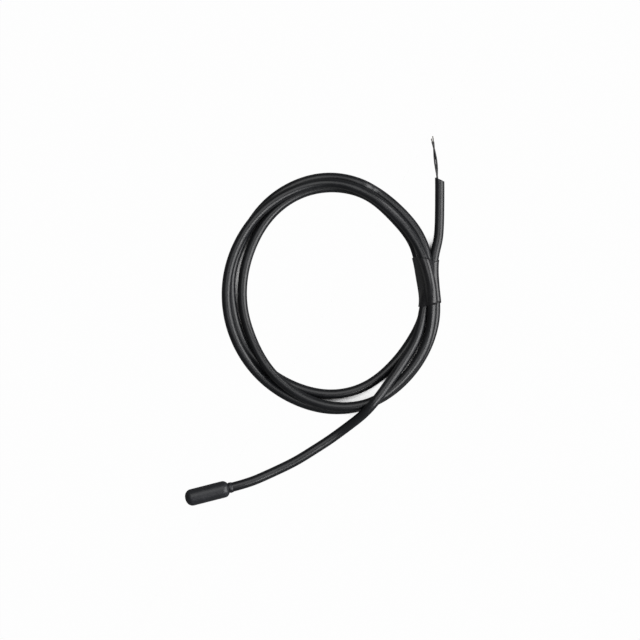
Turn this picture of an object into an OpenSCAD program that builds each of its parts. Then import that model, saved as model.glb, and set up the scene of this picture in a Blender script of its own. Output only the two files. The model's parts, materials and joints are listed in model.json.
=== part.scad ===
/* [Probe head] */
// Diameter of the moulded probe barrel
probe_d = 6; // [5.4:0.1:7]
// Length of the moulding from its tip to the end of its neck
probe_l = 17.6; // [17:0.1:22]
// Radius of the dome at the tip
dome_r = 4.5; // [4:0.1:9]
// Radius that rounds the dome into the barrel
tip_r = 2.5; // [1.6:0.1:2.6]
// Radius that rounds the barrel's back shoulder
shoulder_r = 2.1; // [1.8:0.1:2.3]
// Length of the neck behind the shoulder
neck_l = 1.4; // [1.2:0.1:3]
// Wall of the neck's collar around the cable
collar_wall = 0.2; // [0.2:0.05:0.6]
// Width of the groove between the shoulder and the collar
neck_groove_w = 0.3; // [0.2:0.05:0.5]
// Wall of the moulding in front of the bead
tip_wall = 1.4; // [0.8:0.1:2.5]

/* [Sensing element] */
// Largest diameter of the coated thermistor bead
bead_d = 2.2; // [1.8:0.1:2.6]
// Length of the bead
bead_l = 3; // [2.6:0.1:3.6]
// Diameter of the bead where its wires leave it
bead_back_d = 1.8; // [1.6:0.1:1.8]
// Distance between the two wires, centre to centre
wire_pitch = 1.2; // [1.1:0.05:1.3]
// Diameter of each thermistor wire
wire_d = 0.3; // [0.2:0.05:0.35]
// Length of wire between the bead and its splice
wire_l = 1.7; // [1.2:0.1:2.4]
// Diameter of each soldered splice
splice_d = 0.7; // [0.5:0.05:0.75]
// Length of each splice
splice_l = 2.2; // [1.6:0.1:3]
// Wall of the sleeve that insulates a splice
sleeve_wall = 0.15; // [0.1:0.05:0.15]
// Length that a sleeve runs past its splice at each end
sleeve_lap = 0.6; // [0.4:0.1:1]

/* [Cable] */
// Outer diameter of the cable's jacket
cable_d = 3.4; // [3:0.1:3.6]
// Length of jacket held inside the moulding
grip_l = 4.4; // [3.5:0.1:5]
// Diameter of each insulated core
core_d = 0.62; // [0.5:0.02:0.7]
// Length of insulated core from inside the jacket to where it is stripped
core_l = 15; // [9:0.5:15.5]
// Length along the pair in which its two cores twist once round each other
core_lay = 20; // [9:0.5:24]
// Diameter of each bare tinned conductor
conductor_d = 0.4; // [0.3:0.02:0.44]
// Length of the longer bare conductor past its insulation
conductor_l = 2; // [1.2:0.1:2]
// Length by which the other conductor is shorter
conductor_step = 0.8; // [0:0.1:1]
// Turn of the twisted pair where it starts inside the jacket, in degrees
pair_turn = 45; // [0:5:175]
// Slant of the jacket's cut end, in degrees off square
cut_slant = 24; // [0:1:35]

/* [Coil] */
// Half of the coil's short width, to the middle of its turns
coil_half_w = 35.1; // [34.6:0.1:35.6]
// Half of the coil's long width, to the middle of its turns
coil_half_l = 39.5; // [39.2:0.1:40]
// Radius of the coil's two tighter ends
coil_end_r = 33; // [32:0.5:34]
// Gap between the two turns that lie on the surface
turn_gap = 1.2; // [0.8:0.1:1.8]
// Depth to which neighbouring turns press into each other
turn_press = 0.1; // [0.05:0.05:0.2]

/* [Tape] */
// Width of the tape
tape_w = 18; // [15:0.5:19]
// Share of its width that the tape loses to folds on the coil's outer side
tape_gather = 0.33; // [0:0.01:0.4]
// Thickness of the wound layers of tape
tape_t = 0.3; // [0.15:0.05:0.5]
// Clearance between the tape and the strands that it binds
tape_clear = 0.05; // [0.04:0.01:0.1]
// Share by which the tape is drawn into the groove on the coil's inner side
draw_inner = 0.15; // [0:0.05:0.5]
// Share by which it is drawn into the grooves on the outer side
draw_outer = 0.85; // [0.2:0.05:0.9]

/* [Hidden] */

// Probe, measured along +X from the tip
probe_r = probe_d / 2;
cable_r = cable_d / 2;
tip_x = -probe_l / 2;
neck_x = probe_l / 2;
shoulder_x = neck_x - neck_l;
collar_r = cable_r + collar_wall;
groove_r = cable_r + collar_wall / 2;
lip_r = cable_r + collar_wall / 3;
lip_l = neck_l / 2;

// Stations of the pieces inside the moulding
bead_x = tip_x + tip_wall;
bead_back_x = bead_x + bead_l;
splice_x = bead_back_x + wire_l;
core_start_x = splice_x + splice_l;
grip_x = neck_x - grip_l;
sleeve_d = splice_d + 2 * sleeve_wall;

// Coil: an oval of four tangent arcs, turned as it lies beside the probe
coil_x = 60.4;
coil_y = 59.3;
coil_turn = -14.3;
rise = coil_half_l - coil_end_r;
coil_side_r = (rise * rise + coil_half_w * coil_half_w - coil_end_r * coil_end_r)
    / (2 * (coil_half_w - coil_end_r));
side_shift = coil_side_r - coil_half_w;
join_angle = atan2(rise, side_shift);
lane = (cable_d + turn_gap) / 2;
strand_step = cable_d - turn_press;
top_z = cable_r + sqrt(strand_step * strand_step - lane * lane);
join_swell = 0.02;
join_sweep = 1;

// Strand that climbs out of the coil's top turn, crosses over it in the tape and comes down again:
// angle about the centre of the coil's side, offset across the side, and height above the top turn
crossing = [
    [-32.5, 0, -0.1], [-27, 1.3, 0.2], [-21, 2.3, 0.9], [-14.5, 2.4, 1.5], [-8, 2, 2.3], [-3, 1.7, 2.9],
    [1.5, 1.4, 3.3], [6.5, 1.1, 3.3], [11, 0.7, 2.9], [16, 0.4, 2.2], [22.5, 0, 1.3], [28.5, -0.2, 0.5],
    [33, 0, -0.1]
];
crossing_taper = 0.85;

// Tape: a stretch of the coil's right side, with its middle a little above the short axis
tape_mid = 4.7;
tape_steps = 8;
tape_sides = 48;
tape_r = cable_r + tape_clear;
tape_facet_slack = 0.04;
lift = tape_t + tape_clear;
tape_half = tape_w / (coil_side_r - lane - tape_r) * 90 / PI;
draw_side = 35;
draw_floor = 0.2;

// Route of the cable from inside the moulding, over the coil and down into its top turn
lead_route = [
    [grip_x, 0, probe_r], [neck_x + 0.2, 0, probe_r], [13, 0.1, 3], [17, 0.4, 2.9],
    [21, 1, 2.6], [26, 1.9, 2], [33, 3.4, 1.7],
    [40.5, 5.7, 1.7], [47, 7.9, 1.7], [52.5, 10.1, 2.4], [56.7, 11.9, 4], [60.8, 13.9, 6.3],
    [64.6, 16.3, 8.1], [68.2, 19, 8.5], [71, 21.3, 7.8], [74, 23.8, 6.6], [76.3, 25.7, 5.7],
    [78.5, 27.7, 4.9]
];

// Route of the cable out of the tape to its cut end, and on past the cut
tail_route = [
    [97, 49.8, 2.1], [98, 53.2, 2.1], [98.8, 56.6, 2.1], [99.7, 60.4, 2.1], [100.8, 64, 2.1],
    [102.3, 67.7, 2.1], [104.1, 72.7, 2], [105.7, 78.4, 1.8], [107.2, 84.1, 1.7], [108.4, 88.9, 1.7],
    [108.9, 91.1, 1.7]
];
tail_end = len(tail_route) - 2;

// Line that the twisted pair of cores follows out of the jacket
pair_route = [
    [107.3, 87.8, 1.7], [108.1, 92, 1.7], [108.7, 96.3, 1.7], [109.2, 100.6, 1.7], [109.5, 104.9, 1.7]
];

pair_leg = norm(pair_route[1] - pair_route[0]);
pair_r = core_d / 2 + 0.02;
core_to = core_l / pair_leg;

function unit(v) = v / norm(v);
function mix(a, b, t) = a + (b - a) * t;
function mean(v) = (v * [for (i = v) 1]) / len(v);

// Direction of a route at its point i
function heading(route, i) =
    unit(route[min(i + 1, len(route) - 1)] - route[max(i - 1, 0)]);

// Level vector square to a direction, and the one that completes the frame
function across(dir) = unit(cross(dir, [0, 0, 1]));
function upward(dir) = cross(across(dir), dir);

// Corners of the ring around a route's point i
function ring(route, i, radius, sides) =
    let (dir = heading(route, i))
    [for (k = [0 : sides - 1])
        let (a = 360 * (k + 0.5) / sides + 180 / sides)
        route[i] + radius * (cos(a) * across(dir) + sin(a) * upward(dir))];

// A tube swept along a route as one closed polyhedron, with its two end rings scaled by a share
module tube(route, radius, sides = 8, ends = 1) {
    rings = len(route);
    corners = [for (i = [0 : rings - 1])
        each ring(route, i, radius * (i == 0 || i == rings - 1 ? ends : 1), sides)];
    walls = [for (i = [0 : rings - 2], k = [0 : sides - 1])
        let (m = (k + 1) % sides)
        [i * sides + k, i * sides + m, (i + 1) * sides + m, (i + 1) * sides + k]];
    start_cap = [for (k = [sides - 1 : -1 : 0]) k];
    end_cap = [for (k = [0 : sides - 1]) (rings - 1) * sides + k];
    polyhedron(corners, concat([start_cap], walls, [end_cap]), convexity = 6);
}

// Points of an arc about a centre
function arc(centre, radius, from, to, steps = 8) =
    [for (i = [0 : steps])
        let (a = mix(from, to, i / steps))
        centre + radius * [cos(a), sin(a)]];

// Half profile of the moulding, as distance from the axis and place along it
dome_rise = sqrt(pow(dome_r - tip_r, 2) - pow(probe_r - tip_r, 2));
dome_centre = tip_x + dome_r;
tip_centre = dome_centre - dome_rise;
dome_angle = atan2(probe_r - tip_r, dome_rise);
shoulder_centre = shoulder_x - shoulder_r;
shoulder_sweep = acos((groove_r - (probe_r - shoulder_r)) / shoulder_r);
collar_x = shoulder_x + neck_groove_w / 2;

function moulding_profile() = concat(
    [[0, tip_x]],
    arc([0, dome_centre], dome_r, -90 + dome_angle / 5, -90 + dome_angle, 4),
    arc([probe_r - tip_r, tip_centre], tip_r, -82 + dome_angle, 0, 7),
    arc([probe_r - shoulder_r, shoulder_centre], shoulder_r, 0, shoulder_sweep, 7),
    [[groove_r, collar_x], [collar_r, collar_x], [collar_r, neck_x - lip_l], [lip_r, neck_x], [0, neck_x]]
);

// Turns a shape built along +Z to lie along +X at the height of the probe's axis
module along_x() {
    translate([0, 0, probe_r]) rotate([0, 90, 0]) children();
}

// A round bar along +X from one station to another, off the axis by side
module bar(from, to, d, side = 0) {
    translate([from, side, probe_r]) rotate([0, 90, 0]) cylinder(d = d, h = to - from, $fn = 32);
}

// Round nose with a straight taper to the back
module bead_shape() {
    nose = bead_d / 2;
    along_x() rotate_extrude($fn = 32) polygon(concat(
        [[0, bead_x]],
        arc([0, bead_x + nose], nose, -78, 0, 8),
        [[bead_back_d / 2, bead_back_x], [0, bead_back_x]]
    ));
}

module splice_sleeve_shape(side) {
    bar(splice_x - sleeve_lap, core_start_x + sleeve_lap, sleeve_d, side);
}

// Overmoulded head: barrel, blunt tip, shoulder and the collar around the cable
module probe_body() {
    color([0.13, 0.13, 0.14])
    difference() {
        along_x() rotate_extrude($fn = 36) polygon(moulding_profile());
        bead_shape();
        for (side = [-1, 1] * wire_pitch / 2) {
            bar(bead_back_x - 0.01, splice_x, wire_d, side);
            splice_sleeve_shape(side);
            bar(core_start_x, grip_x + 0.01, core_d, side);
        }
        bar(grip_x, neck_x + 1, cable_d);
    }
}

// Thermistor chip in its drop of epoxy
module thermistor_bead() {
    color([0.1, 0.1, 0.1]) bead_shape();
}

module thermistor_wire(side) {
    color([0.75, 0.75, 0.78]) bar(bead_back_x, splice_x, wire_d, side);
}

module splice(side) {
    color([0.7, 0.7, 0.72]) bar(splice_x, core_start_x, splice_d, side);
}

// Thin sleeve over a splice, the wire in front of it and the core behind it
module splice_sleeve(side) {
    color([0.55, 0.35, 0.12])
    difference() {
        splice_sleeve_shape(side);
        bar(splice_x - sleeve_lap - 1, splice_x, wire_d, side);
        bar(splice_x, core_start_x, splice_d, side);
        bar(core_start_x, core_start_x + sleeve_lap + 1, core_d, side);
    }
}

// Stripped core between the jacket's end and a splice
module head_core(side) {
    color([0.07, 0.07, 0.07]) bar(core_start_x, grip_x, core_d, side);
}

module cable_lead() {
    color([0.15, 0.15, 0.16]) tube(lead_route, cable_r);
}

// Section through the coil: two turns on the surface and one in the groove between them
module coil_section(swell = 0) {
    for (side = [-lane, lane]) {
        translate([side, cable_r]) circle(r = cable_r + swell, $fn = 16);
    }
    translate([0, top_z]) circle(r = cable_r + swell, $fn = 16);
    polygon([[-lane, cable_r], [lane, cable_r], [0, top_z]]);
}

// Places a shape in the coil's own axes, the short one along X
module in_coil() {
    translate([coil_x, coil_y, lift]) rotate([0, 0, coil_turn]) children();
}

// One of the oval's arcs, sweeping a section about its own centre
module coil_arc(centre, radius, from, sweep) {
    translate(centre) rotate([0, 0, from])
    rotate_extrude(angle = sweep, $fn = 54) translate([radius, 0]) children();
}

// Half of the oval, with a short, slightly fuller stretch that binds its arcs at each join
module half_coil() {
    coil_arc([-side_shift, 0, 0], coil_side_r, -join_angle, 2 * join_angle) coil_section();
    coil_arc([0, rise, 0], coil_end_r, join_angle, 180 - 2 * join_angle) coil_section();
    for (join = [-join_angle, join_angle]) {
        coil_arc([-side_shift, 0, 0], coil_side_r, join - join_sweep / 2, join_sweep)
            coil_section(join_swell);
    }
}

// Coil of three turns, with the strand that crosses over them where the tape binds them
module cable_coil() {
    color([0.15, 0.15, 0.16])
    in_coil() {
        for (half = [0, 180]) {
            rotate([0, 0, half]) half_coil();
        }
        tube([for (p = crossing) on_side(p[0], p[1], top_z + p[2])], cable_r, 12, crossing_taper);
    }
}

module cable_tail() {
    color([0.15, 0.15, 0.16])
    difference() {
        tube(tail_route, cable_r);
        tail_cut();
        for (phase = [0, 180]) tube(core_route(phase), core_d / 2);
    }
}

// Block that cuts the jacket's end on the slant
module tail_cut() {
    dir = heading(tail_route, tail_end);
    translate([tail_route[tail_end][0], tail_route[tail_end][1], 0])
    rotate([0, 0, atan2(dir[1], dir[0]) - cut_slant])
    translate([0, -2 * cable_d, -cable_d]) cube([3 * cable_d, 4 * cable_d, 3 * cable_d]);
}

// Place on the coil's side: angle about the side's own centre, offset across it, height
function on_side(angle, offset, height) = [
    (coil_side_r + offset) * cos(angle) - side_shift, (coil_side_r + offset) * sin(angle), height
];

// The tail's own angle, offset and height on the coil's side
tail_side = [for (p = tail_route)
    let (x = p[0] - coil_x, y = p[1] - coil_y,
         u = x * cos(coil_turn) + y * sin(coil_turn) + side_shift,
         v = y * cos(coil_turn) - x * sin(coil_turn))
    [atan2(v, u), norm([u, v]) - coil_side_r, p[2] - lift]];

// Value of a column of a list of places on the side, at an angle
function at_angle(angle, places, column) = lookup(angle, [for (p = places) [p[0], p[column]]]);

// Middles of the strands that the tape binds, as offset across the side and height
function bound_strands(angle) = [
    [-lane, cable_r], [lane, cable_r], [0, top_z],
    [at_angle(angle, crossing, 1), top_z + at_angle(angle, crossing, 2)],
    [at_angle(angle, tail_side, 1), at_angle(angle, tail_side, 2)]
];

// Distance to the outermost strand in a direction or next to it, as seen from the bundle's middle
function touch(strands, direction, radius) = max([for (s = strands, turn = [-1, 0, 1] * 360 / tape_sides)
    let (way = [cos(direction + turn), sin(direction + turn)],
         aside = cross(way, s),
         chord = radius * radius - aside * aside)
    chord > 0 ? way * s + sqrt(chord) : 0]);

// Distance to a film stretched straight over the strands
function bridge(strands, direction, radius) = min([for (turn = [-75 : 7.5 : 75])
    let (way = [cos(direction + turn), sin(direction + turn)])
    (radius + max([for (s = strands) way * s])) / cos(turn)]);

// Corner of the tape's skin: stretched over the strands and drawn part of the way into the grooves
function tape_corner(share, direction, radius, lowest) =
    let (half = tape_half * (1 - tape_gather * (1 + cos(direction)) / 2),
         angle = tape_mid + half * (2 * share - 1),
         bound = bound_strands(angle),
         middle = [for (axis = [0, 1]) mean([for (s = bound) s[axis]])],
         strands = [for (s = bound) s - middle],
         way = [cos(direction), sin(direction)],
         straight = bridge(strands, direction, radius),
         draw = mix(draw_inner, draw_outer, (1 + cos(direction - draw_side)) / 2),
         drawn = max(touch(strands, direction, radius), draw_floor * straight),
         place = middle + way * mix(straight, drawn, draw))
    on_side(angle, place[0], max(place[1], lowest));

// Tape wound round the strands: an inner and an outer skin, closed at both edges
module tape_wrap() {
    row = tape_sides;
    skin = row * (tape_steps + 1);
    slack_r = tape_r + tape_facet_slack;
    corners = [for (outer = [0, 1], i = [0 : tape_steps], k = [0 : row - 1])
        tape_corner(i / tape_steps, 360 * k / row, slack_r + outer * tape_t, outer ? -lift : -tape_clear)];
    inner_walls = [for (i = [0 : tape_steps - 1], k = [0 : row - 1])
        let (m = (k + 1) % row)
        [i * row + k, (i + 1) * row + k, (i + 1) * row + m, i * row + m]];
    outer_walls = [for (wall = inner_walls) [for (k = [3 : -1 : 0]) skin + wall[k]]];
    first_edge = [for (k = [0 : row - 1])
        let (m = (k + 1) % row)
        [skin + m, skin + k, k, m]];
    last = tape_steps * row;
    last_edge = [for (edge = first_edge) [for (k = [3 : -1 : 0]) last + edge[k]]];
    faces = concat(inner_walls, outer_walls, first_edge, last_edge);
    color([0.2, 0.2, 0.2])
    in_coil() polyhedron(corners, [for (f = faces) each [[f[0], f[1], f[2]], [f[0], f[2], f[3]]]]);
}

// Point of the pair's middle line, counted in legs of its route
function pair_point(u) =
    let (k = min(floor(u), len(pair_route) - 2))
    mix(pair_route[k], pair_route[k + 1], u - k);

// Place on one core of the twisted pair
function twisted(u, phase) =
    let (dir = unit(pair_point(u + 0.1) - pair_point(max(u - 0.1, 0))),
         a = pair_turn + phase + 360 * u * pair_leg / core_lay)
    pair_point(u) + pair_r * (cos(a) * across(dir) + sin(a) * upward(dir));

// Route of a stretch of core or conductor, from one place on the pair to another
function twisted_route(from, to, phase, steps) =
    [for (i = [0 : steps]) twisted(mix(from, to, i / steps), phase)];

function core_route(phase) = twisted_route(0, core_to, phase, 18);

// Insulated core, from inside the jacket to where its insulation is stripped
module tail_core(phase) {
    color([0.07, 0.07, 0.07]) tube(core_route(phase), core_d / 2);
}

// Bare tinned end of a core
module conductor(phase, length) {
    color([0.6, 0.58, 0.55])
    tube(twisted_route(core_to, core_to + length / pair_leg, phase, 4), conductor_d / 2);
}

probe_body();
thermistor_bead();
thermistor_wire(-wire_pitch / 2);  // thermistor_wire_a
thermistor_wire(wire_pitch / 2);  // thermistor_wire_b
splice(-wire_pitch / 2);  // splice_a
splice(wire_pitch / 2);  // splice_b
splice_sleeve(-wire_pitch / 2);  // splice_sleeve_a
splice_sleeve(wire_pitch / 2);  // splice_sleeve_b
head_core(-wire_pitch / 2);  // head_core_a
head_core(wire_pitch / 2);  // head_core_b
cable_lead();
cable_coil();
cable_tail();
tape_wrap();
tail_core(0);  // tail_core_a
tail_core(180);  // tail_core_b
conductor(0, conductor_l);  // conductor_a
conductor(180, conductor_l - conductor_step);  // conductor_b
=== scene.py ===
"""Cable temperature sensor: a moulded probe head on a two-core cable, coiled and bound with vinyl tape."""

import json
import math

import bpy
import numpy as np
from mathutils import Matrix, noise

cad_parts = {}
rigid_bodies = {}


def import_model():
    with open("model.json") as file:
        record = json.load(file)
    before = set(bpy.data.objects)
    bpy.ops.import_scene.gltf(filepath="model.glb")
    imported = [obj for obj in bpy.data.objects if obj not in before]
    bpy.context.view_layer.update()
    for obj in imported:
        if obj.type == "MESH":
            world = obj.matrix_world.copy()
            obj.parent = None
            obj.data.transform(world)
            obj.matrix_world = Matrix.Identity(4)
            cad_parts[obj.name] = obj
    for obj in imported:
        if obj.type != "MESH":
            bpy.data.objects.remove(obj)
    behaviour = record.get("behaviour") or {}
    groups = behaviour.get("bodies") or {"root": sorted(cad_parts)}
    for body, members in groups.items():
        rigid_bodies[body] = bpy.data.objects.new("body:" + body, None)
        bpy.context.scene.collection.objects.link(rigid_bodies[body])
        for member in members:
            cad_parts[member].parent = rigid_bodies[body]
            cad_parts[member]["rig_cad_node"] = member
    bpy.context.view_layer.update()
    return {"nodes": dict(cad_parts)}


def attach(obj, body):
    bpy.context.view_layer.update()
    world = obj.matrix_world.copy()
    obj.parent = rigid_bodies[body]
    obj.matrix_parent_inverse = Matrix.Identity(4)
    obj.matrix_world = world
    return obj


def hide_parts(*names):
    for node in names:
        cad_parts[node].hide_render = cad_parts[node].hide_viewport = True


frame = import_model()
bpy.ops.object.select_all(action="DESELECT")

MM = 0.001

# Moulded head, with the sizes of the part's source
PROBE_R = 3 * MM
PROBE_L = 17.6 * MM
DOME_R = 4.5 * MM
TIP_R = 2.5 * MM
SHOULDER_R = 2.1 * MM
NECK_L = 1.4 * MM
COLLAR_WALL = 0.2 * MM
GROOVE_W = 0.3 * MM

# What moulding leaves on the head: a gate mark in its tip, soft edges on its collar and a parting line.
# GATE_ANGLE is where the dome starts beside the mark, in degrees off the head's axis.
GATE_MIDDLE = 0.05 * MM
GATE_R = 0.3 * MM
GATE_DEPTH = 0.14 * MM
GATE_RIM_R = 0.4 * MM
GATE_RIM_DEPTH = 0.03 * MM
GATE_ANGLE = 5
COLLAR_EDGE = 0.08 * MM
COLLAR_WAIST = 0.4
MOUTH_TAPER = 0.3 * MM
MOUTH_LIP = 0.03 * MM
MOUTH_SUNK = 0.05 * MM
PARTING_LINE = 0.025 * MM
HEAD_SIDES = 96
DOME_STEPS = 5
BARREL_STEPS = 8
EDGE_STEPS = 12

# Cable and its twisted pair of cores, with the sizes of the part's source
CABLE_R = 1.7 * MM
CORE_R = 0.31 * MM
CORE_LAY = 20 * MM
PAIR_TURN = math.radians(45)
CORE_L = 15 * MM
CONDUCTOR_R = 0.2 * MM
CONDUCTOR_LENGTHS = (2 * MM, 1.2 * MM)
CUT_SLANT = math.radians(24)

# What shows where the cable is cut: its wall, the hollow round the cores, their gap and bevel,
# and the fine strands of each conductor, which splay a little towards their ends
CUT_WALL = 0.75 * MM
CUT_HOLLOW = 0.7 * MM
CORE_GAP = 0.02 * MM
CORE_BEVEL = 0.05 * MM
STRAND_R = CONDUCTOR_R / 3
STRAND_LAY = 4 * MM
STRAND_SPLAY = 0.12
STRAND_HIDDEN = 0.3 * MM
CABLE_SIDES = 28
CORE_SIDES = 16
STRAND_SIDES = 8
CORE_POINTS = 60
PAIR_STEP = 0.1 * MM

# Coil: its middle, and by how many degrees the picture is turned against the part's frame. Angles round
# the coil are the picture's. LAYER is how much higher each layer of strands lies. Strands that rest on
# each other press in a little, and the tape lifts those that it binds, which lie within BOUND_R.
COIL_CENTRE = np.array([60.4, 59.3]) * MM
COIL_TURN = -14.3
LAYER = 2.95 * MM
STRAND_PRESS = 0.1 * MM
BOUND_STRANDS = 4
BOUND_R = 41 * MM
TAPE_LIFT = 0.35 * MM

# Settling: steps along the cable before and after it, its rounds, in what share of them strands sink and
# how far, the points that the head holds, and how many on either side of a point are its own strand's
ROUGH_STEP = 1.5 * MM
ROUTE_STEP = 1 * MM
SETTLE_ROUNDS = 6000
SINKING = 0.8
SINK = 0.02 * MM
HELD_POINTS = 6
NEIGHBOURS = 8

# Tape: its middle and half its reach, in degrees round the coil, and over how many more its lift eases off
TAPE_MIDDLE = 6
TAPE_REACH = 18
TAPE_EASE = 25

# Tape's two edges, in degrees round the coil, each on the coil's inner side and on its outer side
TAPE_BOTTOM = (-9.6, -5.3)
TAPE_TOP = (22.6, 15.9)

# Tape's film, the step from layer to layer, its gap to the strands, how high its outermost layer lies at
# least in layers, its turns and the direction they start in, and how far they drift, in degrees a turn
TAPE_T = 0.12 * MM
TAPE_STEP = 0.13 * MM
TAPE_CLEAR = 0.05 * MM
TAPE_FOOT = 0.6
TAPE_TURNS = 2.32
TAPE_START = math.radians(15)
TAPE_SKEW = 0.35
TAPE_GIRTH = 25 * MM
TAPE_WIDTH = 18 * MM

# How deep the tape is drawn into the grooves at least, how much more in the direction where it is most and
# how narrowly there, and the share of its stretched distance that it keeps. Below LEAST_LEAN a side of
# the strands doesn't hold it.
DRAW_LEAST = 0.05
DRAW_MORE = 0.9
DRAW_FOCUS = 1.5
DRAW_TOWARDS = math.radians(20)
DISTANCE_KEPT = 0.2
LEAST_LEAN = 0.05

# Tape's creases, how far its edges stand up and over what share of its width, and its fineness:
# points round each turn and across its width, and sections, which start and end past its edges
TAPE_CREASE = 0.05 * MM
TAPE_CURL = 0.05 * MM
CURL_SHARE = 1 / 6
TAPE_AROUND = 120
TAPE_ACROSS = 36
TAPE_SECTIONS = 44
PAST_EDGE = 3

# Picture's frame: its middle on the object, its width there, and how far off the camera stands
VIEW_CENTRE = (54.1 * MM, 50.5 * MM)
VIEW_WIDTH = 230.4 * MM
VIEW_HEIGHT = 1.2
VIEW_PLANE = 3 * MM
SENSOR = 36

# Table: its size, height and paint, how much of its white is kept from shadow, how far off a piece still
# darkens it with painted shade, and the shares of open sky between which a narrow gap goes from its paint
# to its white: in the narrower gaps the white gives way to painted shade
FLOOR_SIZE = 8
FLOOR_Z = -0.01 * MM
FLOOR_PAINT = "#585858"
FLOOR_SHARE = 0.985
GAP_SHADE_REACH = 6 * MM
PAINTED_GAP_SHADE_SKY = (0.24, 0.34)

# Share of the white surroundings that gloss and clear pieces show
WHITE_MIRRORED = 0.08

# Noise lies mostly between the first two values. The third is how far it takes a plain finish's roughness.
NOISE_LOW = 0.3
NOISE_HIGH = 0.7
PLAIN_SPREAD = 0.06

# Cable outside its coil, and the pair's middle line, point by point as in the part's source.
# WAY_OUT is where the cable slips out of the tape.
LEAD = [
    (0.0044, 0, 0.003), (0.009, 0, 0.003), (0.013, 0.0001, 0.003), (0.017, 0.0004, 0.0029),
    (0.021, 0.001, 0.0026), (0.026, 0.0019, 0.002), (0.033, 0.0034, 0.0017),
    (0.0405, 0.0057, 0.0017), (0.047, 0.0079, 0.0017), (0.0525, 0.0101, 0.0024),
    (0.0567, 0.0119, 0.004), (0.0608, 0.0139, 0.0063), (0.0646, 0.0163, 0.0081),
    (0.0682, 0.019, 0.0085), (0.071, 0.0213, 0.0078), (0.074, 0.0238, 0.0066),
    (0.0763, 0.0257, 0.0057), (0.0785, 0.0277, 0.0049),
]
WAY_OUT = [(0.0989, 0.0606, 0.0021), (0.1004, 0.064, 0.0021)]
TAIL = [
    (0.1023, 0.0677, 0.0021), (0.1041, 0.0727, 0.002), (0.1057, 0.0784, 0.0018),
    (0.1072, 0.0841, 0.0017), (0.1084, 0.0889, 0.0017), (0.1089, 0.0911, 0.0017),
]
CUT_POINT = TAIL[-2]
PAIR = [
    (0.1073, 0.0878, 0.0017), (0.1081, 0.092, 0.0017), (0.1087, 0.0963, 0.0017),
    (0.1092, 0.1006, 0.0017), (0.1095, 0.1049, 0.0017),
]

# Turns of the coil: a station every 20 degrees from where the lead comes down on to it,
# with the turn's radius there in millimetres and the layer that it lies in
FIRST_STATION = 330
STATION_STEP = 20
LANDING = [(35.1, 1), (33.9, 1.3), (35.5, 1)]
LOWER_TURN = [
    (37.7, 0.5), (38.5, 0), (40.1, 0), (41.3, 0), (40.6, 0), (38.9, 0), (37, 0), (36.4, 0), (36, 0),
    (36.4, 0), (36.3, 0), (36.4, 0), (36.8, 0), (36.1, 0), (34.4, 0), (33.8, 0), (34.1, 0), (33, 0),
]
CLIMBING_TURN = [
    (34.3, 0), (35, 0), (37, 0), (37.6, 0), (36.8, 0), (34.9, 0), (32.9, 0), (32, 0), (32.1, 0),
    (33, 0.5), (35.4, 1), (38.3, 1), (41, 1), (42.1, 1), (40.6, 1), (39, 1.2), (36.9, 2), (35.7, 2),
]
UPPER_TURN = [
    (35.5, 1.6), (35.9, 1), (37.6, 1), (39.1, 1), (38.8, 1), (38.2, 1), (37.6, 1), (37.5, 1), (37.8, 1),
    (38.5, 0.7), (39.6, 0.2), (40.9, 0), (42.3, 0), (42.5, 0), (41.3, 0), (39.9, 0), (38.3, 0),
    (37.4, 0),
]


def mix(a, b, share):
    return a + (b - a) * share


def unit(v):
    return v / np.linalg.norm(v, axis=-1, keepdims=True)


# Camera, straight above the object
bpy.ops.object.camera_add(
    location=(*VIEW_CENTRE, VIEW_HEIGHT), rotation=(0, 0, math.radians(COIL_TURN))
)
camera = bpy.context.object
camera.data.sensor_width = SENSOR
camera.data.lens = SENSOR * (VIEW_HEIGHT - VIEW_PLANE) / VIEW_WIDTH
bpy.context.scene.camera = camera


# Route of the cable

def spline(keys, step):
    """Points a step apart on the natural cubic spline through the keys."""
    keys = np.array(keys, float)
    legs = np.linalg.norm(np.diff(keys, axis=0), axis=1)
    at = np.concatenate([[0], np.cumsum(legs)])
    count = len(keys)
    rows, right = np.eye(count), np.zeros((count, 3))
    for i in range(1, count - 1):
        rows[i, i - 1:i + 2] = legs[i - 1], 2 * (legs[i - 1] + legs[i]), legs[i]
        right[i] = 6 * ((keys[i + 1] - keys[i]) / legs[i] - (keys[i] - keys[i - 1]) / legs[i - 1])
    bend = np.linalg.solve(rows, right)
    s = np.linspace(0, at[-1], int(at[-1] / step) + 1)
    i = np.clip(np.searchsorted(at, s, side="right") - 1, 0, count - 2)
    back, ahead, leg = (at[i + 1] - s)[:, None], (s - at[i])[:, None], legs[i][:, None]
    return (
        (bend[i] * back ** 3 + bend[i + 1] * ahead ** 3) / (6 * leg)
        + (keys[i] / leg - bend[i] * leg / 6) * back
        + (keys[i + 1] / leg - bend[i + 1] * leg / 6) * ahead
    )


def coil_point(angle, radius, height):
    """Place at an angle round the coil, a distance from its middle and a height."""
    a = math.radians(angle + COIL_TURN)
    return (COIL_CENTRE[0] + radius * math.cos(a), COIL_CENTRE[1] + radius * math.sin(a), height)


def turn_keys():
    turns = LANDING + LOWER_TURN + CLIMBING_TURN + UPPER_TURN
    return [
        coil_point(FIRST_STATION + STATION_STEP * k, radius * MM, CABLE_R + layer * LAYER)
        for k, (radius, layer) in enumerate(turns)
    ]


def polar(path):
    """Each point's distance from the coil's middle, and its angle round it, counted on from turn to turn."""
    x, y = (path[:, :2] - COIL_CENTRE).T
    return np.hypot(x, y), np.degrees(np.unwrap(np.arctan2(y, x))) - COIL_TURN


def resting_heights(path):
    """How high the cable's middle lies on the surface, or on the tape where that goes under it."""
    radius, angle = polar(path)
    past_tape = np.abs((angle + 180) % 360 - 180 - TAPE_MIDDLE) - TAPE_REACH
    ease = np.clip(1 - past_tape / TAPE_EASE, 0, 1)
    return CABLE_R + TAPE_LIFT * ease ** 2 * (3 - 2 * ease) * (radius < BOUND_R)


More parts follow.
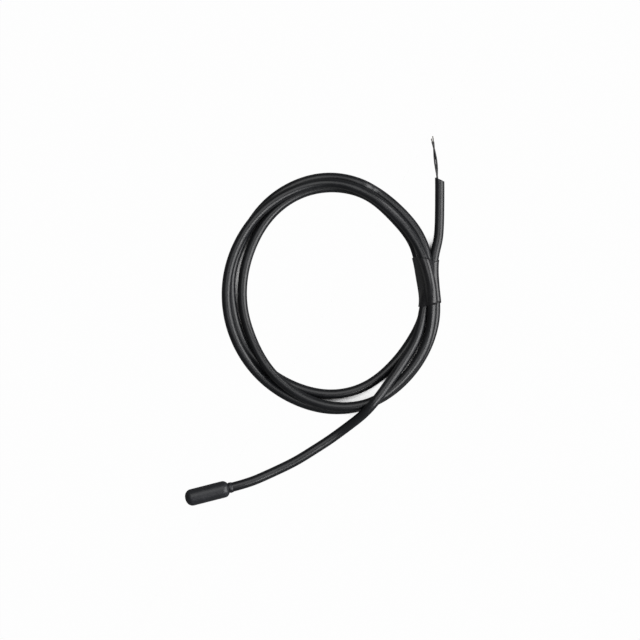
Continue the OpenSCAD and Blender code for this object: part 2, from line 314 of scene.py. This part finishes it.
def settle(path):
    """Lets the strands sink until each rests on the surface, on the tape or on the strands below it."""
    x, y, z = path.T.copy()
    count = len(z)
    run = np.arange(count)
    apart = np.hypot(x[:, None] - x, y[:, None] - y)
    touch = 2 * CABLE_R - STRAND_PRESS
    crossing = (apart < touch) & (z[:, None] > z) & (abs(run[:, None] - run) > NEIGHBOURS)
    upper, lower = np.where(crossing)
    need = np.sqrt(touch ** 2 - apart[upper, lower] ** 2)
    rest = resting_heights(path)
    for turn in range(SETTLE_ROUNDS):
        if turn < SINKING * SETTLE_ROUNDS:
            z -= SINK
        for _ in range(3):
            z[2:-2] -= (z[:-4] - 4 * z[1:-3] + 6 * z[2:-2] - 4 * z[3:-1] + z[4:]) / 32
        z[:HELD_POINTS] = PROBE_R
        short = need - (z[upper] - z[lower])
        bad = short > 0
        lift, met = np.zeros(count), np.ones(count)
        np.add.at(lift, upper[bad], short[bad] / 2)
        np.add.at(lift, lower[bad], -short[bad] / 2)
        np.add.at(met, upper[bad], 1)
        np.add.at(met, lower[bad], 1)
        z += lift / np.maximum(met - 1, 1)
        z = np.maximum(z, rest)
    return np.stack([x, y, z], 1)


route = spline(settle(spline(LEAD + turn_keys() + WAY_OUT + TAIL, ROUGH_STEP)), ROUTE_STEP)


# Meshes

def new_object(name, vertices, faces):
    mesh = bpy.data.meshes.new(name)
    mesh.from_pydata([tuple(v) for v in vertices], [], faces)
    made = bpy.data.objects.new(name, mesh)
    bpy.context.scene.collection.objects.link(made)
    mesh.polygons.foreach_set("use_smooth", [True] * len(mesh.polygons))
    return made


def activate(piece):
    bpy.ops.object.select_all(action="DESELECT")
    piece.select_set(True)
    bpy.context.view_layer.objects.active = piece


def frames(path):
    """A sideways and an upright direction at each point of a path, both square to it."""
    along = unit(np.gradient(path, axis=0))
    side = unit(np.cross(along, (0, 0, 1)))
    return side, np.cross(side, along)


def tube(name, path, radius, sides):
    """A round tube along a path, closed at both ends, with a UV map in metres: round it, and along it."""
    side, up = frames(path)
    turn = 2 * math.pi * (np.arange(sides) + 0.5) / sides
    rings = (
        path[:, None]
        + radius * np.cos(turn)[None, :, None] * side[:, None]
        + radius * np.sin(turn)[None, :, None] * up[:, None]
    )
    starts = [i * sides for i in range(len(path))]
    faces = [
        (ring + k, ring + (k + 1) % sides, ring + sides + (k + 1) % sides, ring + sides + k)
        for ring in starts[:-1]
        for k in range(sides)
    ]
    faces.append(tuple(reversed(range(sides))))
    faces.append(tuple(range(starts[-1], starts[-1] + sides)))
    made = new_object(name, rings.reshape(-1, 3), faces)
    run = np.concatenate([[0], np.cumsum(np.linalg.norm(np.diff(path, axis=0), axis=1))])
    uv = made.data.uv_layers.new(name="UVMap")
    for face in made.data.polygons:
        last_side = len(face.vertices) == 4 and max(v % sides for v in face.vertices) == sides - 1
        for loop, vertex in zip(face.loop_indices, face.vertices):
            i, k = divmod(vertex, sides)
            around = k + sides * (last_side and k == 0)
            uv.data[loop].uv = (around / sides * 2 * math.pi * radius, run[i])
    return made


def slant_normal():
    """Square to the cable's cut face, which leans off the cable's own direction."""
    heading = unit(np.array(TAIL[-1]) - np.array(TAIL[-3]))
    across = np.array([heading[1], -heading[0], 0])
    return heading * math.cos(CUT_SLANT) + across * math.sin(CUT_SLANT)


def add_cable():
    """The whole cable, from inside the moulding to its slanted cut, where the cores stand in a hollow."""
    made = tube("cable", route, CABLE_R, CABLE_SIDES)
    activate(made)
    bpy.ops.object.mode_set(mode="EDIT")
    bpy.ops.mesh.select_all(action="SELECT")
    bpy.ops.mesh.bisect(plane_co=CUT_POINT, plane_no=slant_normal(), clear_outer=True, use_fill=True)
    bpy.ops.mesh.inset(thickness=CUT_WALL)
    inwards = -CUT_HOLLOW * slant_normal()
    bpy.ops.mesh.extrude_region_move(TRANSFORM_OT_translate={"value": tuple(inwards)})
    bpy.ops.object.mode_set(mode="OBJECT")
    return made


# Moulded head

def arc(centre, radius, first, last, steps):
    """Points of an arc in a half profile. Angle 0 points away from the probe's axis, and -90 to its tip."""
    angles = [math.radians(mix(first, last, i / steps)) for i in range(steps + 1)]
    return [(centre[0] + radius * math.sin(a), centre[1] + radius * math.cos(a)) for a in angles]


def tip_profile():
    """From the gate mark over the dome and its rounded edge to the barrel. The edge's first point lies
    2 degrees past the dome's last one, so that none comes twice."""
    tip = -PROBE_L / 2
    rise = math.sqrt((DOME_R - TIP_R) ** 2 - (PROBE_R - TIP_R) ** 2)
    sweep = math.degrees(math.atan2(PROBE_R - TIP_R, rise))
    gate = [
        (tip + GATE_DEPTH, GATE_MIDDLE), (tip + GATE_DEPTH, GATE_R), (tip + GATE_RIM_DEPTH, GATE_RIM_R),
    ]
    dome = arc((tip + DOME_R, 0), DOME_R, -90 + GATE_ANGLE, -90 + sweep, DOME_STEPS)
    edge = arc((tip + DOME_R - rise, PROBE_R - TIP_R), TIP_R, -88 + sweep, 0, EDGE_STEPS)
    return gate + dome + edge


def neck_profile():
    """From the barrel over the shoulder and the groove to the mouth of the collar."""
    neck = PROBE_L / 2
    shoulder = neck - NECK_L
    groove_r = CABLE_R + COLLAR_WALL / 2
    turn = math.degrees(math.acos((groove_r - PROBE_R + SHOULDER_R) / SHOULDER_R))
    back = arc((shoulder - SHOULDER_R, PROBE_R - SHOULDER_R), SHOULDER_R, 0, turn, EDGE_STEPS)
    collar, collar_r = shoulder + GROOVE_W / 2, CABLE_R + COLLAR_WALL
    return back + [
        (collar - COLLAR_EDGE / 4, groove_r),
        (collar, collar_r - COLLAR_EDGE),
        (collar + COLLAR_EDGE / 2, collar_r - COLLAR_EDGE / 4),
        (collar + COLLAR_EDGE, collar_r),
        (mix(collar, neck, COLLAR_WAIST), collar_r - COLLAR_EDGE / 4),
        (neck - MOUTH_TAPER, collar_r - COLLAR_EDGE),
        (neck - COLLAR_EDGE, collar_r - 1.5 * COLLAR_EDGE),
        (neck, CABLE_R + MOUTH_LIP),
        (neck, CABLE_R - MOUTH_SUNK),
    ]


def moulding_profile():
    """Half profile of the head, as places along its axis and distances from it."""
    front, back = tip_profile(), neck_profile()
    start, end = front[-1][0], back[0][0]
    barrel = [(mix(start, end, i / BARREL_STEPS), PROBE_R) for i in range(1, BARREL_STEPS)]
    return front + barrel + back


def turned(name, profile, sides):
    """A round piece along the probe's axis: a disc that is extruded and scaled from station to station."""
    x, radius = profile[0]
    bpy.ops.object.select_all(action="DESELECT")
    bpy.ops.mesh.primitive_circle_add(
        vertices=sides, radius=radius, fill_type="NGON", location=(x, 0, PROBE_R),
        rotation=(0, math.pi / 2, 0),
    )
    made = bpy.context.object
    made.name = name
    bpy.ops.object.transform_apply(location=True, rotation=True, scale=True)
    bpy.ops.object.mode_set(mode="EDIT")
    for next_x, next_radius in profile[1:]:
        bpy.ops.mesh.extrude_region_move(TRANSFORM_OT_translate={"value": (next_x - x, 0, 0)})
        bpy.ops.transform.resize(
            value=(1, next_radius / radius, next_radius / radius), center_override=(next_x, 0, PROBE_R)
        )
        x, radius = next_x, next_radius
    bpy.ops.mesh.select_all(action="SELECT")
    bpy.ops.mesh.normals_make_consistent(inside=False)
    bpy.ops.object.mode_set(mode="OBJECT")
    bpy.ops.object.shade_smooth_by_angle(angle=math.radians(50))
    return made


def add_moulding():
    """The overmoulded head, with the fine parting line that its mould leaves on both sides."""
    made = turned("probe_moulding", moulding_profile(), HEAD_SIDES)
    for vertex in made.data.vertices:
        y, z = vertex.co.y, vertex.co.z - PROBE_R
        radius = math.hypot(y, z)
        if radius > CABLE_R and abs(z) < math.pi * radius / HEAD_SIDES / 2:
            vertex.co.y *= (radius + PARTING_LINE) / radius
    return made


# Tape

def strand_centres(angle):
    """Distance from the coil's middle and height of each bound strand, at an angle round the coil."""
    radius, run = polar(route)
    turns = angle + 360 * np.arange(BOUND_STRANDS)
    return np.stack([np.interp(turns, run, radius), np.interp(turns, run, route[:, 2])], 1)


def tape_section(angle, directions, draw):
    """Middle of the strands at an angle round the coil, and how far off the tape stands in each direction:
    stretched straight over them, and drawn a share of the way into the grooves between them."""
    centres = strand_centres(angle)
    middle = centres.mean(0)
    offsets = centres - middle
    reach = CABLE_R + TAPE_CLEAR
    rays = np.stack([np.cos(directions), np.sin(directions)], 1)
    ahead = rays @ offsets.T
    aside = rays[:, :1] * offsets[:, 1] - rays[:, 1:] * offsets[:, 0]
    chord = reach ** 2 - aside ** 2
    touching = np.where(chord > 0, ahead + np.sqrt(np.maximum(chord, 0)), 0).max(1)
    support = ahead.max(1) + reach
    lean = np.cos(directions[:, None] - directions)
    stretched = np.where(lean > LEAST_LEAN, support / np.maximum(lean, LEAST_LEAN), 1).min(1)
    return middle, stretched - draw * (stretched - np.maximum(touching, DISTANCE_KEPT * stretched))


def tape_sections():
    """Angles of the tape's sections round the coil, with the middle of each and how far off the tape is."""
    directions = 2 * math.pi * np.arange(TAPE_AROUND) / TAPE_AROUND
    draw = DRAW_LEAST + DRAW_MORE * ((1 + np.cos(directions - DRAW_TOWARDS)) / 2) ** DRAW_FOCUS
    angles = np.linspace(TAPE_BOTTOM[0] - PAST_EDGE, TAPE_TOP[0] + PAST_EDGE, TAPE_SECTIONS)
    middles, distances = [], []
    for angle in angles:
        middle, distance = tape_section(angle, directions, draw)
        for _ in range(3):
            distance = (np.roll(distance, 1) + 2 * distance + np.roll(distance, -1)) / 4
        middles.append(middle)
        distances.append(distance)
    return angles, np.array(middles), np.array(distances)


def tape_creases(direction, share):
    """Noise of the film's creases at a direction round the strands and a share of its width."""
    broad = noise.noise((2.2 * direction, 3.5 * share, 1.7))
    fine = noise.noise((6 * direction, 5 * share, 8.1))
    return broad + 0.5 * fine


def tape_row(winding, angles, middles, distances):
    """Points across the tape's width where it has gone round the strands this many times."""
    direction = TAPE_START + 2 * math.pi * winding
    place = direction / (2 * math.pi) * TAPE_AROUND
    low = math.floor(place)
    column = mix(distances[:, low % TAPE_AROUND], distances[:, (low + 1) % TAPE_AROUND], place - low)
    outer = (math.cos(direction) + 1) / 2
    skew = TAPE_SKEW * (winding - TAPE_TURNS / 2)
    lowest = (TAPE_TURNS - winding + TAPE_FOOT) * TAPE_STEP
    row = []
    for i in range(TAPE_ACROSS + 1):
        share = i / TAPE_ACROSS
        angle = mix(mix(*TAPE_BOTTOM, outer), mix(*TAPE_TOP, outer), share) + skew
        middle = [np.interp(angle, angles, middles[:, axis]) for axis in (0, 1)]
        off = np.interp(angle, angles, column) + (winding + 0.5) * TAPE_STEP
        off += TAPE_CREASE * tape_creases(direction, share)
        off += TAPE_CURL * max(0, 1 - min(share, 1 - share) / CURL_SHARE)
        height = max(middle[1] + off * math.sin(direction), lowest)
        row.append(coil_point(angle, middle[0] + off * math.cos(direction), height))
    return row


def add_tape():
    """Vinyl tape wound two and a third turns round the strands, its outer end lying along them."""
    sections = tape_sections()
    steps = int(TAPE_AROUND * TAPE_TURNS)
    vertices = [point for j in range(steps + 1) for point in tape_row(j / TAPE_AROUND, *sections)]
    row = TAPE_ACROSS + 1
    faces = [
        (j * row + i, (j + 1) * row + i, (j + 1) * row + i + 1, j * row + i + 1)
        for j in range(steps)
        for i in range(TAPE_ACROSS)
    ]
    made = new_object("tape_winding", vertices, faces)
    uv = made.data.uv_layers.new(name="UVMap")
    for face in made.data.polygons:
        for loop, vertex in zip(face.loop_indices, face.vertices):
            j, i = divmod(vertex, row)
            uv.data[loop].uv = (j / TAPE_AROUND * TAPE_GIRTH, i / TAPE_ACROSS * TAPE_WIDTH)
    activate(made)
    film = made.modifiers.new("film", "SOLIDIFY")
    film.thickness = TAPE_T
    film.offset = 0
    bpy.ops.object.modifier_apply(modifier=film.name)
    return made


# Cores at the cut end

def core_line(start, length, phase):
    """Middle line of one core of the twisted pair, over a length of it from a start along the pair."""
    line = spline(PAIR, PAIR_STEP)
    side, up = frames(line)
    last = len(line) - 1
    u = np.clip(np.linspace(start, start + length, CORE_POINTS) / (PAIR_STEP * last), 0, 1)
    at = u * last
    i = np.minimum(at.astype(int), last - 1)
    turn = (phase + 2 * math.pi * u * PAIR_STEP * last / CORE_LAY)[:, None]
    off = (CORE_R + CORE_GAP) * (np.cos(turn) * side[i] + np.sin(turn) * up[i])
    return mix(line[i], line[i + 1], (at - i)[:, None]) + off


def add_core(name, phase):
    """One insulated core, from inside the jacket to where it is stripped."""
    made = tube(name, core_line(0, CORE_L, phase), CORE_R, CORE_SIDES)
    activate(made)
    bevel = made.modifiers.new("edge", "BEVEL")
    bevel.width = CORE_BEVEL
    bevel.segments = 2
    bevel.limit_method = "ANGLE"
    bevel.angle_limit = math.radians(60)
    bpy.ops.object.modifier_apply(modifier=bevel.name)
    return made


def add_conductor(name, phase, length):
    """Tinned end of a core: seven fine strands, six of them twisted round the middle one."""
    shown_and_hidden = length + STRAND_HIDDEN
    middle = core_line(CORE_L - STRAND_HIDDEN, shown_and_hidden, phase)
    side, up = frames(middle)
    run = np.linspace(0, shown_and_hidden, len(middle))
    spread = (2 * STRAND_R * (1 + STRAND_SPLAY * (run / run[-1]) ** 2))[:, None]
    strands = [tube(f"{name}_0", middle, STRAND_R, STRAND_SIDES)]
    for k in range(6):
        turn = (math.pi * k / 3 + 2 * math.pi * run / STRAND_LAY)[:, None]
        path = middle + spread * (np.cos(turn) * side + np.sin(turn) * up)
        strands.append(tube(f"{name}_{k + 1}", path, STRAND_R, STRAND_SIDES))
    activate(strands[0])
    for strand in strands:
        strand.select_set(True)
    bpy.ops.object.join()
    strands[0].name = name
    return strands[0]


cable = add_cable()
moulding = add_moulding()
tape = add_tape()
phases = (PAIR_TURN, PAIR_TURN + math.pi)
cores = [add_core(f"core_{end}", phase) for end, phase in zip("ab", phases)]
conductors = [
    add_conductor(f"tinned_end_{end}", phase, length)
    for end, phase, length in zip("ab", phases, CONDUCTOR_LENGTHS)
]


# Materials

def srgb(code):
    """Linear colour of an sRGB hex code."""
    parts = [int(code[i:i + 2], 16) / 255 for i in (1, 3, 5)]
    return (*[p / 12.92 if p <= 0.04045 else ((p + 0.055) / 1.055) ** 2.4 for p in parts], 1)


def add_node(tree, kind, settings=None, inputs=None):
    """A shader node with its settings, and its inputs set to values or linked to other nodes' outputs."""
    made = tree.nodes.new("ShaderNode" + kind)
    for name, value in (settings or {}).items():
        setattr(made, name, value)
    for name, value in (inputs or {}).items():
        if isinstance(value, bpy.types.NodeSocket):
            tree.links.new(value, made.inputs[name])
        else:
            made.inputs[name].default_value = value
    return made


def new_material(name):
    """An empty material with its output node."""
    made = bpy.data.materials.new(name)
    made.use_nodes = True
    made.node_tree.nodes.clear()
    return made, made.node_tree, add_node(made.node_tree, "OutputMaterial")


def finish_material(tree, output, patches, colours, roughness, relief, depth, **values):
    """Shades a material: its colour and roughness change with the patches of a noise, over its relief."""
    spread = {"Value": patches, "From Min": NOISE_LOW, "From Max": NOISE_HIGH}
    share = add_node(tree, "MapRange", inputs={**spread, "To Min": 0, "To Max": 1})
    rough = add_node(tree, "MapRange", inputs={**spread, "To Min": roughness[0], "To Max": roughness[1]})
    colour = add_node(tree, "Mix", {"data_type": "RGBA"}, {
        "Factor": share.outputs["Result"], 6: srgb(colours[0]), 7: srgb(colours[1]),
    })
    bump = add_node(tree, "Bump", inputs={"Height": relief, "Distance": depth, "Strength": 1})
    shader = add_node(tree, "BsdfPrincipled", inputs={
        "Base Color": colour.outputs[2], "Roughness": rough.outputs["Result"],
        "Normal": bump.outputs["Normal"], **values,
    })
    tree.links.new(shader.outputs["BSDF"], output.inputs["Surface"])


def extruded_pvc():
    """Cable jacket, extruded from soft black PVC: satin, with faint die lines along it, a slight orange
    peel and duller patches from handling."""
    die_line, peel_grain, handled_patch, drawn_out = 0.25 * MM, 0.6 * MM, 9 * MM, (1, 0.03, 1)
    made, tree, output = new_material("extruded_pvc")
    uv = add_node(tree, "TexCoord").outputs["UV"]
    lengthways = add_node(tree, "Mapping", inputs={"Vector": uv, "Scale": drawn_out}).outputs["Vector"]
    lines = add_node(tree, "TexNoise", inputs={"Vector": lengthways, "Scale": 1 / die_line, "Detail": 3})
    peel = add_node(tree, "TexNoise", inputs={"Vector": uv, "Scale": 1 / peel_grain, "Detail": 2})
    handled = add_node(tree, "TexNoise", inputs={"Vector": uv, "Scale": 1 / handled_patch, "Detail": 4})
    relief = add_node(tree, "Math", {"operation": "ADD"}, {0: lines.outputs["Fac"], 1: peel.outputs["Fac"]})
    finish_material(
        tree, output, handled.outputs["Fac"], colours=("#131416", "#1b1c1f"), roughness=(0.3, 0.38),
        relief=relief.outputs["Value"], depth=0.012 * MM,
    )
    return made


def moulded_elastomer():
    """Head, moulded from black elastomer: the fine spark-eroded grain of its mould makes it satin."""
    spark_grain, flow_patch = 0.18 * MM, 3 * MM
    made, tree, output = new_material("moulded_elastomer")
    place = add_node(tree, "TexCoord").outputs["Object"]
    grain = add_node(tree, "TexNoise", inputs={"Vector": place, "Scale": 1 / spark_grain, "Detail": 2})
    flow = add_node(tree, "TexNoise", inputs={"Vector": place, "Scale": 1 / flow_patch, "Detail": 3})
    finish_material(
        tree, output, flow.outputs["Fac"], colours=("#202124", "#28292d"), roughness=(0.36, 0.44),
        relief=grain.outputs["Fac"], depth=0.02 * MM,
    )
    return made


def vinyl_tape():
    """Black vinyl tape: calendered film, shiny where it is stretched, with fine lines round the winding."""
    stretch_line, cloud_patch, drawn_out = 0.5 * MM, 4 * MM, (0.15, 1, 1)
    made, tree, output = new_material("vinyl_tape")
    uv = add_node(tree, "TexCoord").outputs["UV"]
    around = add_node(tree, "Mapping", inputs={"Vector": uv, "Scale": drawn_out}).outputs["Vector"]
    lines = add_node(tree, "TexNoise", inputs={"Vector": around, "Scale": 1 / stretch_line, "Detail": 4})
    cloud = add_node(tree, "TexNoise", inputs={"Vector": uv, "Scale": 1 / cloud_patch, "Detail": 3})
    finish_material(
        tree, output, cloud.outputs["Fac"], colours=("#1c1c1e", "#262628"), roughness=(0.2, 0.3),
        relief=lines.outputs["Fac"], depth=0.012 * MM,
    )
    return made


def plain_finish(name, colours, roughness, grain, depth, **values):
    """A finish with a fine uneven surface and a slight change of colour."""
    made, tree, output = new_material(name)
    place = add_node(tree, "TexCoord").outputs["Object"]
    uneven = add_node(tree, "TexNoise", inputs={"Vector": place, "Scale": 1 / grain, "Detail": 3})
    patches = uneven.outputs["Fac"]
    spread = (roughness - PLAIN_SPREAD, roughness + PLAIN_SPREAD)
    finish_material(tree, output, patches, colours, spread, relief=patches, depth=depth, **values)
    return made


def dress(piece, material):
    """Gives a piece its material and slot. A piece that isn't a solid of the part rides on the root."""
    piece.data.materials.clear()
    piece.data.materials.append(material)
    if "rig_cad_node" not in piece:
        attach(piece, "root")


# Core insulation, extruded PVC: satin black. Tinned copper, drawn and dipped: dull grey metal with a grain.
core_pvc = plain_finish(
    "core_pvc", ("#131314", "#1c1c1e"), roughness=0.42, grain=0.2 * MM, depth=0.005 * MM
)
tinned_copper = plain_finish(
    "tinned_copper", ("#57534e", "#736e66"), roughness=0.42, grain=0.1 * MM, depth=0.004 * MM, Metallic=1
)

# Solder, set from the melt: smooth bright metal. Cast epoxy: glossy black. Polyimide film: glossy amber.
tin_solder = plain_finish(
    "tin_solder", ("#9b9c9e", "#b4b5b6"), roughness=0.3, grain=0.4 * MM, depth=0.01 * MM, Metallic=1
)
cast_epoxy = plain_finish(
    "cast_epoxy", ("#0c0c0d", "#141415"), roughness=0.12, grain=0.8 * MM, depth=0.005 * MM
)
polyimide_film = plain_finish(
    "polyimide_film", ("#8a4a12", "#9c5a1c"), roughness=0.2, grain=0.5 * MM, depth=0.003 * MM
)

dress(cable, extruded_pvc())
dress(moulding, moulded_elastomer())
dress(tape, vinyl_tape())
for piece in cores:
    dress(piece, core_pvc)
for piece in conductors:
    dress(piece, tinned_copper)
nodes = frame["nodes"]
dress(nodes["thermistor_bead"], cast_epoxy)
for end in "ab":
    dress(nodes[f"thermistor_wire_{end}"], tinned_copper)
    dress(nodes[f"splice_{end}"], tin_solder)
    dress(nodes[f"splice_sleeve_{end}"], polyimide_film)
    dress(nodes[f"head_core_{end}"], core_pvc)

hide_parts("cable_lead", "cable_coil", "cable_tail")
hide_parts("probe_body")
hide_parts("tape_wrap")
for end, core, conductor in zip("ab", cores, conductors):
    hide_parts(f"tail_core_{end}")
    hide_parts(f"conductor_{end}")


# Studio

def shows_white(tree, share):
    """How much white a ray sees: the share for the camera's own rays, a small part of it for those that
    a gloss or a clear piece sends on, and none for those that light the object."""
    rays = add_node(tree, "LightPath").outputs
    sent_on = add_node(tree, "Math", {"operation": "MAXIMUM"}, {
        0: rays["Is Glossy Ray"], 1: rays["Is Transmission Ray"],
    })
    dimmed = add_node(tree, "Math", {"operation": "MULTIPLY"}, {
        0: sent_on.outputs["Value"], 1: WHITE_MIRRORED,
    })
    seen = add_node(tree, "Math", {"operation": "MAXIMUM"}, {
        0: rays["Is Camera Ray"], 1: dimmed.outputs["Value"],
    })
    whole = add_node(tree, "Math", {"operation": "MULTIPLY"}, {0: seen.outputs["Value"], 1: share})
    return whole.outputs["Value"]


def add_world(strength):
    """White surroundings for the rays that see them, and hardly any light from them."""
    world = bpy.data.worlds.new("studio")
    bpy.context.scene.world = world
    world.use_nodes = True
    tree = world.node_tree
    tree.nodes.clear()
    dim = add_node(tree, "Background", inputs={"Color": (1, 1, 1, 1), "Strength": strength})
    white = add_node(tree, "Background", inputs={"Color": (1, 1, 1, 1), "Strength": 1})
    mixed = add_node(tree, "MixShader", inputs={
        0: shows_white(tree, 1), 1: dim.outputs["Background"], 2: white.outputs["Background"],
    })
    add_node(tree, "OutputWorld", inputs={"Surface": mixed.outputs["Shader"]})


def add_floor():
    """White table that keeps a faint shadow on its paint. Narrow gaps get painted shade: there its white
    fades with how little open sky they see, and only its paint shows.
    """
    bpy.ops.object.select_all(action="DESELECT")
    bpy.ops.mesh.primitive_plane_add(size=FLOOR_SIZE, location=(*VIEW_CENTRE, FLOOR_Z))
    floor = bpy.context.object
    floor.name = "table"
    made, tree, output = new_material("white_table")
    paint = add_node(tree, "BsdfDiffuse", inputs={"Color": srgb(FLOOR_PAINT)})
    white = add_node(tree, "Emission", inputs={"Color": (1, 1, 1, 1), "Strength": 1})
    open_sky = add_node(tree, "AmbientOcclusion", {"samples": 16}, {"Distance": GAP_SHADE_REACH}).outputs["AO"]
    # Painted shade: in narrow gaps the white fades out with the share of open sky, and the paint shows
    white_less_painted_gap_shade = add_node(tree, "MapRange", inputs={
        "Value": open_sky, "From Min": PAINTED_GAP_SHADE_SKY[0], "From Max": PAINTED_GAP_SHADE_SKY[1],
        "To Min": 0, "To Max": FLOOR_SHARE,
    })
    mixed = add_node(tree, "MixShader", inputs={
        0: shows_white(tree, white_less_painted_gap_shade.outputs["Result"]), 1: paint.outputs["BSDF"], 2: white.outputs["Emission"],
    })
    tree.links.new(mixed.outputs["Shader"], output.inputs["Surface"])
    floor.data.materials.append(made)


def add_softbox(name, azimuth, elevation, distance, size, power):
    """A rectangular softbox that faces the object. Azimuth is in the picture: 0 is right and 90 is up."""
    a, e = math.radians(azimuth + COIL_TURN), math.radians(elevation)
    x = VIEW_CENTRE[0] + distance * math.cos(e) * math.cos(a)
    y = VIEW_CENTRE[1] + distance * math.cos(e) * math.sin(a)
    bpy.ops.object.light_add(
        type="AREA", location=(x, y, distance * math.sin(e)), rotation=(0, math.pi / 2 - e, a)
    )
    lamp = bpy.context.object
    lamp.name = name
    lamp.data.shape = "RECTANGLE"
    lamp.data.size, lamp.data.size_y = size
    lamp.data.energy = power


bpy.context.scene.view_settings.view_transform = "Standard"
add_world(strength=0.02)
add_floor()
add_softbox("softbox_right", azimuth=4, elevation=33, distance=0.6, size=(0.42, 0.7), power=4.6)
add_softbox("softbox_front", azimuth=-45, elevation=50, distance=0.65, size=(0.3, 0.25), power=1.8)
add_softbox("softbox_overhead", azimuth=102, elevation=68, distance=1.4, size=(1.2, 1), power=7)
